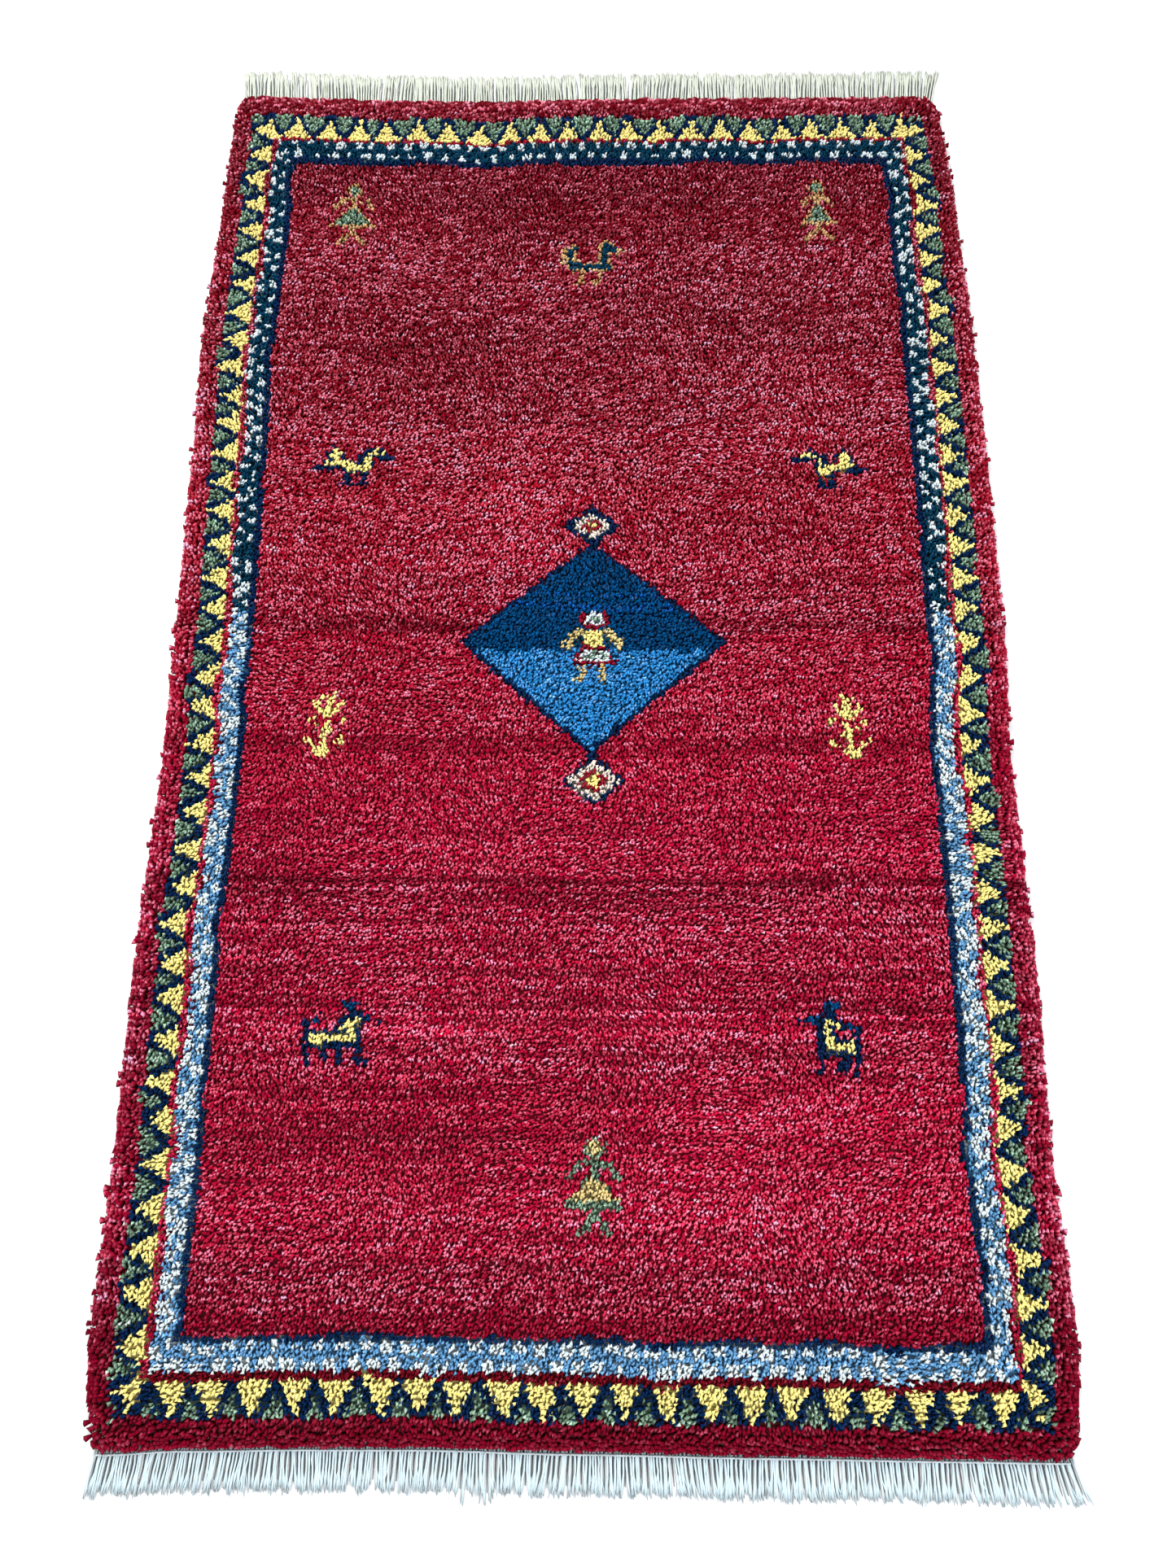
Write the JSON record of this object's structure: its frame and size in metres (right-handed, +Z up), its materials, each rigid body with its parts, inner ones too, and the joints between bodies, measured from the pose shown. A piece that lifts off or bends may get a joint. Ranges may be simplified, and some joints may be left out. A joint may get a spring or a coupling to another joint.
{
  "type": "gabbeh rug",
  "caption": "Thick hand-knotted wool rug lying flat: lumpy pile, overcast sides, twined cotton warp fringes at both ends, plain field with a medallion, small figures and a triangle border.",
  "frame": {"origin": "bottom centre of the rug's box, on the floor", "axes": "+Z up out of the pile, +Y along the length from the near fringe to the far fringe, +X to the right across the width"},
  "size_m": [0.942, 1.654, 0.0133],
  "materials": {
    "pile": "matte wool pile with a soft sheen",
    "selvedge_left": "matte overcast wool",
    "selvedge_right": "matte overcast wool",
    "fringe_near": "matte plied cotton",
    "fringe_far": "matte plied cotton"
  },
  "bodies": {
    "root": {"pile_rug": "pile", "selvedge_left": "selvedge_left", "selvedge_right": "selvedge_right", "fringe_near": "fringe_near", "fringe_far": "fringe_far"}
  },
  "joints": []
}
